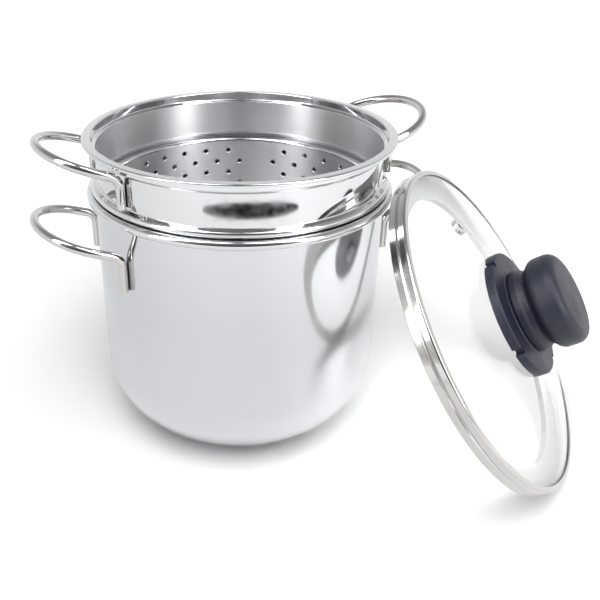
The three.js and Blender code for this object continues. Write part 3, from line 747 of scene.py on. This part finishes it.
class PASTAPOT_OT_colander(bpy.types.Operator):
    """Model the colander and punch its holes"""

    bl_idname = "pasta_pot.colander"
    bl_label = "Colander"

    def execute(self, context):
        shapes = Shapes(context.scene)
        col, sheet, finishes = shapes.colander, shapes.pot.sheet, shapes.finishes
        ledge = col.rim_top - col.ledge
        inside = col.collar - sheet
        within = col.basket - sheet
        fold = col.brim - 2 * sheet
        crease, bend, step_round = 0.5 * MM, 0.8 * MM, 1.2 * MM
        brim_round, shoulder_round = 2.2 * MM, 2.4 * MM
        brim_fall = 1.2 * MM
        outline = rounded(
            [
                (0, col.floor - sheet, 0),
                (col.basket, col.floor - sheet, col.corner + sheet),
                (col.basket, shapes.brim_bottom, crease),
                (col.brim, shapes.brim_bottom, brim_round),
                (col.brim, shapes.brim_top - brim_fall, brim_round),
                (col.collar, shapes.brim_top, crease),
                (col.collar, ledge - 2 * sheet, step_round),
                (col.opening + sheet, ledge, step_round),
                (col.opening + sheet, col.rim_top - 1.6 * sheet, 1 * MM),
                (col.rim_radius - col.rim_roll, col.rim_top - 2 * col.rim_roll, 0.6 * MM),
                (col.rim_radius, col.rim_top - 2 * col.rim_roll, col.rim_roll),
                (col.rim_radius, col.rim_top, col.rim_roll),
                (col.opening, col.rim_top, 0.9 * MM),
                (col.opening, ledge + 1 * MM, 1 * MM),
                (inside, ledge, 0.7 * MM),
                (inside, shapes.brim_top - sheet, bend),
                (fold, shapes.brim_top - 1.9 * sheet, bend),
                (fold, shapes.shoulder_top, bend),
                (within, shapes.basket_top, shoulder_round),
                (within, col.floor, col.corner),
                (0, col.floor, 0),
            ]
        )
        body = turn_piece("colander_shell", outline, 4 * shapes.facets)
        punch_out(body, self.punches(shapes))
        outside = polished_stainless("stainless_polished", finishes.polished, finishes.polish_roughness)
        rough, grain = finishes.inside_roughness, finishes.inside_grain
        satin = brushed_metal("stainless_brushed_basket", finishes.pickled, rough, grain)
        dress(body, "colander", [outside, satin], ["colander_body"])
        rim_low = ledge - 0.5 * MM
        shoulder_low = shapes.basket_top - 2 * MM
        shoulder_high = shapes.shoulder_top + 1 * MM
        fold_wall = fold + 0.2 * MM
        basket_high = shapes.brim_bottom - 1 * MM

        def is_inside(at, normal):
            """Satin are the basket, the collar's inside and the fold, but not the shoulder between them."""
            radial = Vector((at.x, at.y, 0))
            if shoulder_low < at.z < shoulder_high and normal.z > 0.1:
                return radial.length > inside
            if at.z > rim_low or radial.length > fold_wall:
                return False
            return radial.dot(normal) < 0 or at.z < basket_high

        paint(body, 1, is_inside)
        return {"FINISHED"}

    def punch(self, radius, sheet):
        """A round punch along Z whose lower end flares, so that it leaves a drawn-in edge on the inside."""
        drawn, slope, stroke = 0.5 * sheet, 1.1, 3 * MM
        top, meet, low = stroke, drawn - sheet, -stroke
        bpy.ops.object.select_all(action="DESELECT")
        bpy.ops.mesh.primitive_cylinder_add(
            vertices=14, radius=radius, depth=top - meet, location=(0, 0, (top + meet) / 2)
        )
        punch = bpy.context.object
        bpy.ops.object.transform_apply(location=True, rotation=False, scale=False)
        pick_faces(punch, lambda face: face.normal.z < -0.9)
        bpy.ops.mesh.extrude_region_move(TRANSFORM_OT_translate={"value": (0, 0, low - meet)})
        flare = (radius + slope * (meet - low)) / radius
        bpy.ops.transform.resize(value=(flare, flare, 1), center_override=(0, 0, low))
        bpy.ops.object.mode_set(mode="OBJECT")
        return punch

    def punches(self, shapes):
        """Punches for all holes of the wall's panels and of the floor, as one object."""
        col = shapes.colander
        pitch = TURN / shapes.facets
        first = col.strip - 2 * col.holes * pitch
        sideways = Matrix.Rotation(math.pi / 2, 4, "Y")
        down = Matrix.Rotation(math.pi, 4, "X")
        places = []
        for row in range(col.rows):
            fuller = row % 2
            height = shapes.basket_top - col.first_row - row * col.row_pitch
            out = Matrix.Translation((col.basket, 0, height)) @ sideways
            for panel in range(col.panels):
                for i in range(col.holes - 1 + fuller):
                    facet = panel * shapes.panel_facets + 2 * i + 1 - fuller
                    angle = first + (facet + 0.5) * pitch
                    places.append(Matrix.Rotation(angle, 4, "Z") @ out)
        for ring in range(col.rings + 1):
            around = max(1, 6 * ring)
            out = Matrix.Translation((ring * col.floor_pitch, 0, col.floor - shapes.pot.sheet)) @ down
            for i in range(around):
                places.append(Matrix.Rotation(TURN * i / around, 4, "Z") @ out)
        punch = self.punch(col.hole / 2, shapes.pot.sheet)
        punches = []
        for matrix in places:
            copy = punch.copy()
            copy.data = punch.data.copy()
            copy.data.transform(matrix)
            bpy.context.collection.objects.link(copy)
            punches.append(copy)
        bpy.data.objects.remove(punch, do_unlink=True)
        return joined("punches", punches)


class PASTAPOT_OT_lid_glass(bpy.types.Operator):
    """Model the lid's glass dome with its vent hole"""

    bl_idname = "pasta_pot.lid_glass"
    bl_label = "Lid glass"

    def execute(self, context):
        shapes = Shapes(context.scene)
        lid = shapes.lid
        bore = lid.bore / 2
        edge = shapes.glass_radius
        steps = 30
        radii = [bore + (edge - bore) * k / steps for k in range(steps + 1)]
        under = [Vector((r, shapes.dome(r) - lid.glass)) for r in radii]
        over = [Vector((r, shapes.dome(r))) for r in reversed(radii)]
        glass = turn_piece("lid_dome", under + over, STEPS["glass"], closed=True)
        bpy.ops.object.select_all(action="DESELECT")
        radius = lid.vent_tube / 2 + shapes.pot.fit
        bpy.ops.mesh.primitive_cylinder_add(vertices=32, radius=radius, depth=6 * lid.glass)
        drill = bpy.context.object
        place(drill, shapes.vent_matrix())
        punch_out(glass, drill)
        place(glass, shapes.lid_matrix())
        clear = tempered_glass("glass_tempered", shapes.finishes.glass)
        dress(glass, "lid", [clear], ["lid_glass"])
        # Clear glass lets the light through to the floor.
        glass.visible_shadow = False
        return {"FINISHED"}


class PASTAPOT_OT_lid_band(bpy.types.Operator):
    """Model the rolled steel band and the silicone strip behind it"""

    bl_idname = "pasta_pot.lid_band"
    bl_label = "Lid band and strip"

    def execute(self, context):
        shapes = Shapes(context.scene)
        lid, fit, finishes = shapes.lid, shapes.pot.fit, shapes.finishes
        radius, sheet = lid.radius, lid.sheet
        inside = radius - sheet
        spigot = shapes.colander.opening - lid.spigot_play
        reach = radius - lid.grip
        over = shapes.dome(reach) + fit
        groove = lid.groove_height
        shelf = shapes.glass_radius - lid.shelf
        top = shapes.glass_edge + fit + sheet
        bend = lid.turn_over
        cut, hem, crease, roll = 0.3 * MM, 0.35 * MM, 0.5 * MM, 0.6 * MM
        outline = rounded(
            [
                (spigot - sheet, -lid.spigot, hem),
                (spigot, -lid.spigot, hem),
                (spigot, 0, crease),
                (radius, 0, 0.8 * MM),
                (radius, groove - lid.groove, crease),
                (radius - lid.groove, groove, roll),
                (radius, groove + lid.groove, crease),
                (radius, top, bend),
                (reach, over + sheet, cut),
                (reach, over, cut),
                (inside, top - sheet, bend - sheet),
                (inside, groove + sheet / 2, 0.2 * MM),
                (shelf, groove + sheet / 2, cut),
                (shelf, groove - sheet / 2, cut),
                (inside, groove - sheet / 2 - lid.groove, 0.4 * MM),
                (inside, sheet, cut),
                (spigot - sheet, sheet, roll),
            ],
            closed=True,
        )
        band = turn_piece("lid_band", outline, STEPS["band"], closed=True)
        low = shapes.glass_foot
        strip_in = shapes.glass_radius + fit
        strip_out = strip_in + lid.seal
        lower_edge, upper_edge = shapes.glass_edge - 1.4 * MM, shapes.glass_edge - 0.6 * MM
        strip = rounded(
            [
                (strip_in, low, 0.2 * MM),
                (strip_out, low, 0.2 * MM),
                (strip_out, lower_edge, cut),
                (strip_in, upper_edge, cut),
            ],
            closed=True,
        )
        seal = turn_piece("lid_edge_strip", strip, STEPS["strip"], closed=True)
        matrix = shapes.lid_matrix()
        place(band, matrix)
        place(seal, matrix)
        # The band takes the darker copy of the polished steel as painted shade.
        steel = polished_stainless("stainless_polished_band", finishes.bright, finishes.band_roughness)
        rubber = moulded("silicone_moulded", finishes.silicone, finishes.moulded_roughness, **SILICONE)
        rough = finishes.flange_roughness
        satin = brushed_metal("stainless_brushed_band", finishes.pickled, rough, matrix=matrix)
        dress(band, "lid", [steel, satin], ["lid_rim_band"])
        level = matrix.inverted()
        axis = matrix.col[2].xyz
        clear_of_wall = inside - 0.2 * MM

        def is_flange(at, normal):
            """Satin is the side of flange and shelf that looks up at the glass."""
            spot = level @ at
            upwards = normal.dot(axis) > 0.2
            return upwards and spot.z < groove + sheet and spot.xy.length < clear_of_wall

        paint(band, 1, is_flange)
        dress(seal, "lid", [rubber], ["lid_rim_seal"])
        return {"FINISHED"}


class PASTAPOT_OT_vent(bpy.types.Operator):
    """Model the tubular vent eyelet"""

    bl_idname = "pasta_pot.vent"
    bl_label = "Vent eyelet"

    def execute(self, context):
        shapes = Shapes(context.scene)
        lid, fit, finishes = shapes.lid, shapes.pot.fit, shapes.finishes
        under = -lid.glass - fit
        sheet = lid.sheet
        bore, tube, flange = lid.vent_bore / 2, lid.vent_tube / 2, lid.vent_flange / 2
        mouth, edge, crease = 0.7 * MM, 0.6 * MM, 0.1 * MM
        outline = rounded(
            [
                (bore, under - sheet, mouth),
                (flange, under - sheet, edge),
                (flange, under, crease),
                (tube, under, crease),
                (tube, fit, crease),
                (flange, fit, crease),
                (flange, fit + sheet, edge),
                (bore, fit + sheet, mouth),
            ],
            closed=True,
        )
        eyelet = turn_piece("lid_eyelet", outline, STEPS["eyelet"], closed=True)
        place(eyelet, shapes.lid_matrix() @ shapes.vent_matrix())
        rough = finishes.eyelet_roughness
        steel = polished_stainless("stainless_polished_eyelet", finishes.polished, rough)
        dress(eyelet, "lid", [steel], ["lid_vent_eyelet"])
        return {"FINISHED"}


class PASTAPOT_OT_knob(bpy.types.Operator):
    """Model the knob: its notched disc and its grip"""

    bl_idname = "pasta_pot.knob"
    bl_label = "Knob"

    def execute(self, context):
        shapes = Shapes(context.scene)
        matrix = shapes.lid_matrix()
        finishes = shapes.finishes
        resin = moulded("phenolic_resin", finishes.resin, finishes.moulded_roughness, **RESIN)
        disc = self.disc(shapes)
        grip = self.grip(shapes)
        for piece, node in ((disc, "lid_knob_shield"), (grip, "lid_knob_grip")):
            place(piece, matrix)
            dress(piece, "lid", [resin], [node])
        return {"FINISHED"}

    def disc(self, shapes):
        """The wide disc that sits on the glass, with its notches cut."""
        knob, fit = shapes.knob, shapes.pot.fit
        bore = knob.insert / 2 + fit
        top = shapes.disc_top
        crown = top + knob.crown
        seat = knob.foot + 2.2 * MM
        seat_depth, seat_slope = 0.7 * MM, 1 * MM
        steps = 12
        under = []
        for k in range(steps + 1):
            radius = bore + (knob.disc - bore) * k / steps
            under.append(Vector((radius, shapes.dome(radius) + fit)))
        over = rounded(
            [
                (knob.disc, shapes.dome(knob.disc) + fit, 0),
                (knob.disc, top, 1.3 * MM),
                (seat + seat_slope, crown - seat_depth, 0.8 * MM),
                (seat, crown, 0.6 * MM),
                (bore, crown, 0),
            ]
        )
        disc = turn_piece("knob_disc", under + over[1:], STEPS["knob"], closed=True)
        cutters = []
        for i in range(knob.notches):
            bpy.ops.object.select_all(action="DESELECT")
            bpy.ops.mesh.primitive_cube_add(size=1)
            cutter = bpy.context.object
            cutter.scale = (2 * knob.notch_depth, knob.notch_width, 6 * knob.edge)
            bpy.ops.object.transform_apply(location=False, rotation=False, scale=True)
            bpy.ops.object.mode_set(mode="EDIT")
            bpy.ops.mesh.select_all(action="SELECT")
            bpy.ops.mesh.bevel(offset=0.6 * MM, segments=3, affect="EDGES")
            bpy.ops.object.mode_set(mode="OBJECT")
            turn = Matrix.Rotation(TURN * i / knob.notches + knob.notch_turn, 4, "Z")
            place(cutter, turn @ Matrix.Translation((knob.disc, 0, top)))
            cutters.append(cutter)
        if cutters:
            punch_out(disc, joined("notch_cutters", cutters))
        return disc

    def grip(self, shapes):
        """The waisted grip with the hollow for its insert."""
        knob, fit = shapes.knob, shapes.pot.fit
        foot = shapes.grip_foot
        bore = knob.insert / 2 + fit
        hollow = foot + knob.insert_length + fit
        top = foot + knob.height
        waist = foot + knob.foot_height + knob.neck
        flare, belly = waist + 4.5 * MM, waist + 7.5 * MM
        outline = rounded(
            [
                (0, hollow, 0),
                (bore, hollow, 0.3 * MM),
                (bore, foot, 0.4 * MM),
                (knob.foot, foot, 0.6 * MM),
                (knob.foot, foot + knob.foot_height, 1.2 * MM),
                (knob.waist, waist, 4 * MM),
                (knob.grip - 1.2 * MM, flare, 3 * MM),
                (knob.grip, belly, 6 * MM),
                (knob.grip, top - knob.top_rise, knob.round_edge),
                (0, top, 0),
            ],
            step=math.radians(6),
        )
        return turn_piece("knob_grip", outline, STEPS["knob"])


class PASTAPOT_OT_fixing(bpy.types.Operator):
    """Finish the knob's insert, gasket, washer and screw"""

    bl_idname = "pasta_pot.fixing"
    bl_label = "Knob fixing"

    def execute(self, context):
        shapes = Shapes(context.scene)
        finishes = shapes.finishes
        matrix = shapes.lid_matrix()
        steel = brushed_metal("stainless_turned", finishes.satin, finishes.screw_roughness, matrix=matrix)
        brass = brushed_metal("brass_turned", finishes.brass, finishes.insert_roughness, matrix=matrix)
        rubber = moulded("silicone_gasket", finishes.silicone, finishes.moulded_roughness, **SILICONE)
        for node, material in (
            ("lid_knob_insert", brass),
            ("lid_knob_gasket", rubber),
            ("lid_knob_washer", steel),
            ("lid_knob_screw", steel),
        ):
            piece = frame["nodes"][node]
            piece.data.materials.clear()
            piece.data.materials.append(material)
        return {"FINISHED"}


# Stage, in metres and watts

WHITE = (1, 1, 1, 1)
CAMERA_SPOT = Vector((-0.1938, -0.4921, 0.3834))
CAMERA_AIM = Vector((0, 0, 0.1))
CAMERA_HEADING = Vector((CAMERA_SPOT.x, CAMERA_SPOT.y, 0)).normalized()
LID_HEADING = Vector((0.93, -0.366, 0))
LAMP_AIM = Vector((0.03, -0.03, 0.12))
# Each lamp's name, place, width, height and power
LAMPS = (
    ("softbox_front", (-0.4, -0.95, 1.95), 1.4, 1.4, 44),
    ("strip_high_right", (0.44, -0.81, 2.0), 0.6, 1.4, 16),
    ("strip_high_left", (-0.89, -0.21, 2.0), 0.6, 1.4, 16),
    ("strip_low_right", (0.57, -1.05, 0.75), 0.42, 0.9, 6.5),
    ("strip_low_left", (-1.17, -0.26, 0.75), 0.36, 0.9, 5.5),
)


def straight(tree, rays):
    """1 for what the camera sees, also through glass."""
    feeds = {0: rays["Is Camera Ray"], 1: rays["Is Transmission Ray"]}
    return put(tree, "ShaderNodeMath", feeds, operation="MAXIMUM").outputs["Value"]


class PASTAPOT_OT_stage(bpy.types.Operator):
    """Lay the floor and set the lamps, the background and the camera"""

    bl_idname = "pasta_pot.stage"
    bl_label = "Stage"

    def execute(self, context):
        scene = context.scene
        scene.view_settings.view_transform = "Standard"
        self.floor(scene.pasta_pot_finishes)
        self.background(scene)
        self.lamps()
        self.card(scene.pasta_pot_finishes)
        self.camera(scene)
        return {"FINISHED"}

    def floor(self, finishes):
        """A pale floor that keeps the shadows next to the pot. Further out a painted glow whitens them, and
        on the lid's side the glow paints a paler floor into the steel.
        """
        bpy.ops.object.select_all(action="DESELECT")
        bpy.ops.mesh.primitive_plane_add(size=6)
        floor = bpy.context.object
        floor.name = "studio_floor"
        material, tree = start_material("floor_card")
        plain = put(tree, "ShaderNodeBsdfDiffuse", {"Color": opaque(finishes.floor)}).outputs["BSDF"]
        spot = put(tree, "ShaderNodeTexCoord").outputs["Object"]
        rays = put(tree, "ShaderNodeLightPath").outputs
        away = put(tree, "ShaderNodeVectorMath", {0: spot}, operation="LENGTH").outputs["Value"]
        fill = put(tree, "ShaderNodeMapRange", graded(away, 0.3, 1.5, 0.02, 0.6)).outputs["Result"]
        # Painted light: on the lid's side the floor glows for glossy rays, so the steel and the glass show
        # it paler than its shadow, much as the camera sees it.
        right = put(tree, "ShaderNodeVectorMath", {0: spot, 1: LID_HEADING}, operation="DOT_PRODUCT")
        side = put(tree, "ShaderNodeMapRange", graded(right.outputs["Value"], 0.06, 0.4, 0.0, 0.25))
        feeds = {0: side.outputs["Result"], 1: rays["Is Glossy Ray"], 2: fill}
        in_steel = put(tree, "ShaderNodeMath", feeds, operation="MULTIPLY_ADD").outputs["Value"]
        # Painted light: to the camera the floor glows white past the pot's shadow, within 0.4 m of its axis,
        # which fades that shadow out and leaves only the shade next to the pot.
        pale = put(tree, "ShaderNodeMapRange", graded(away, 0.1, 0.4, 0.0, 0.3)).outputs["Result"]
        feeds = {0: pale, 1: straight(tree, rays), 2: in_steel}
        shown = put(tree, "ShaderNodeMath", feeds, operation="MULTIPLY_ADD").outputs["Value"]
        glow = put(tree, "ShaderNodeEmission", {"Color": WHITE, "Strength": shown}).outputs["Emission"]
        both = put(tree, "ShaderNodeAddShader", {0: plain, 1: glow}).outputs["Shader"]
        mix = put(tree, "ShaderNodeMixShader", {0: rays["Is Diffuse Ray"], 1: both, 2: plain})
        put(tree, "ShaderNodeOutputMaterial", {"Surface": mix.outputs["Shader"]})
        floor.data.materials.append(material)

    def background(self, scene):
        """White to the camera. The steel shows a darker ceiling and a darker room behind the camera."""
        world = bpy.data.worlds.new("studio")
        world.use_nodes = True
        tree = world.node_tree
        tree.nodes.clear()
        rays = put(tree, "ShaderNodeLightPath").outputs
        heading = put(tree, "ShaderNodeTexCoord").outputs["Generated"]
        height = put(tree, "ShaderNodeSeparateXYZ", {"Vector": heading}).outputs["Z"]
        ceiling = put(tree, "ShaderNodeMapRange", graded(height, 0.25, 0.7, 1.0, 0.35)).outputs["Result"]
        behind = put(tree, "ShaderNodeVectorMath", {0: heading, 1: CAMERA_HEADING}, operation="DOT_PRODUCT")
        dusk = put(tree, "ShaderNodeMapRange", graded(behind.outputs["Value"], 0.5, 0.85, 1.0, 0.14))
        feeds = {0: ceiling, 1: dusk.outputs["Result"]}
        dim = put(tree, "ShaderNodeMath", feeds, operation="MULTIPLY").outputs["Value"]
        lit, room, white = [
            put(tree, "ShaderNodeBackground", {"Color": WHITE, "Strength": strength}).outputs["Background"]
            for strength in (0.28, dim, 1.0)
        ]
        feeds = {0: rays["Is Glossy Ray"], 1: lit, 2: room}
        around = put(tree, "ShaderNodeMixShader", feeds).outputs["Shader"]
        mix = put(tree, "ShaderNodeMixShader", {0: straight(tree, rays), 1: around, 2: white})
        put(tree, "ShaderNodeOutputWorld", {"Surface": mix.outputs["Shader"]})
        scene.world = world

    def lamps(self):
        """A front softbox for the light, and strips that are there only for the steel to show."""
        for name, spot, width, height, power in LAMPS:
            bpy.ops.object.select_all(action="DESELECT")
            bpy.ops.object.light_add(type="AREA", location=spot)
            lamp = bpy.context.object
            lamp.name = name
            lamp.data.shape = "RECTANGLE"
            lamp.data.size = width
            lamp.data.size_y = height
            lamp.data.energy = power
            lamp.visible_diffuse = name == "softbox_front"
            lamp.visible_glossy = name != "softbox_front"
            lamp.rotation_euler = (LAMP_AIM - Vector(spot)).to_track_quat("-Z", "Y").to_euler()

    def card(self, finishes):
        """A dark lens-shaped card on the floor below the camera, hidden from the camera, from shadows and
        from diffuse light: it only paints a dark reflection into the polished collar.
        """
        material, tree = start_material("dark_card")
        matt = put(tree, "ShaderNodeBsdfDiffuse", {"Color": opaque(finishes.card)})
        put(tree, "ShaderNodeOutputMaterial", {"Surface": matt.outputs["BSDF"]})
        middle = math.atan2(CAMERA_SPOT.y, CAMERA_SPOT.x) + math.radians(8)
        spread = math.radians(34)
        out, half_width, lift = 0.59, 0.026, 2 * MM
        sides = 48
        points = []
        for k in range(sides):
            turn = TURN * k / sides
            angle = middle + spread * math.cos(turn)
            radius = out + half_width * math.sin(turn)
            points.append((radius * math.cos(angle), radius * math.sin(angle), lift))
        card = draw_line("card_below", points)
        bpy.ops.mesh.select_all(action="SELECT")
        bpy.ops.mesh.edge_face_add()
        bpy.ops.object.mode_set(mode="OBJECT")
        # Seen only in reflections: the card is a painted dark reflection.
        card.visible_camera = False
        card.visible_shadow = False
        card.visible_diffuse = False
        card.data.materials.append(material)

    def camera(self, scene):
        """The camera that the photograph was fitted to."""
        bpy.ops.object.select_all(action="DESELECT")
        bpy.ops.object.camera_add(location=CAMERA_SPOT)
        camera = bpy.context.object
        camera.name = "photo_camera"
        camera.rotation_euler = (CAMERA_AIM - CAMERA_SPOT).to_track_quat("-Z", "Y").to_euler()
        camera.data.sensor_width = 36
        camera.data.lens = 47.12
        camera.data.shift_x = 0.1006
        camera.data.shift_y = -0.018
        scene.camera = camera


# Panel and registration

OPERATORS = (
    PASTAPOT_OT_pot,
    PASTAPOT_OT_base,
    PASTAPOT_OT_handles,
    PASTAPOT_OT_colander,
    PASTAPOT_OT_lid_glass,
    PASTAPOT_OT_lid_band,
    PASTAPOT_OT_vent,
    PASTAPOT_OT_knob,
    PASTAPOT_OT_fixing,
    PASTAPOT_OT_stage,
)


class PASTAPOT_PT_sidebar(bpy.types.Panel):
    """Sizes, finishes and pieces of the pasta pot"""

    bl_idname = "PASTAPOT_PT_sidebar"
    bl_label = "Pasta pot"
    bl_space_type = "VIEW_3D"
    bl_region_type = "UI"
    bl_category = "Pasta pot"

    def draw(self, context):
        for operator in OPERATORS:
            self.layout.operator(operator.bl_idname)
        for key, group in GROUPS.items():
            box = self.layout.box()
            for name in group.__annotations__:
                box.prop(getattr(context.scene, key), name)


def register():
    for group in GROUPS.values():
        bpy.utils.register_class(group)
    for key, group in GROUPS.items():
        setattr(bpy.types.Scene, key, bpy.props.PointerProperty(type=group))
    for operator in OPERATORS:
        bpy.utils.register_class(operator)
    bpy.utils.register_class(PASTAPOT_PT_sidebar)


def unregister():
    bpy.utils.unregister_class(PASTAPOT_PT_sidebar)
    for operator in reversed(OPERATORS):
        bpy.utils.unregister_class(operator)
    for key in GROUPS:
        delattr(bpy.types.Scene, key)
    for group in reversed(GROUPS.values()):
        bpy.utils.unregister_class(group)


def main():
    register()
    bpy.ops.pasta_pot.pot()
    bpy.ops.pasta_pot.base()
    bpy.ops.pasta_pot.handles()
    bpy.ops.pasta_pot.colander()
    bpy.ops.pasta_pot.lid_glass()
    bpy.ops.pasta_pot.lid_band()
    bpy.ops.pasta_pot.vent()
    bpy.ops.pasta_pot.knob()
    bpy.ops.pasta_pot.fixing()
    bpy.ops.pasta_pot.stage()


if __name__ == "__main__":
    main()
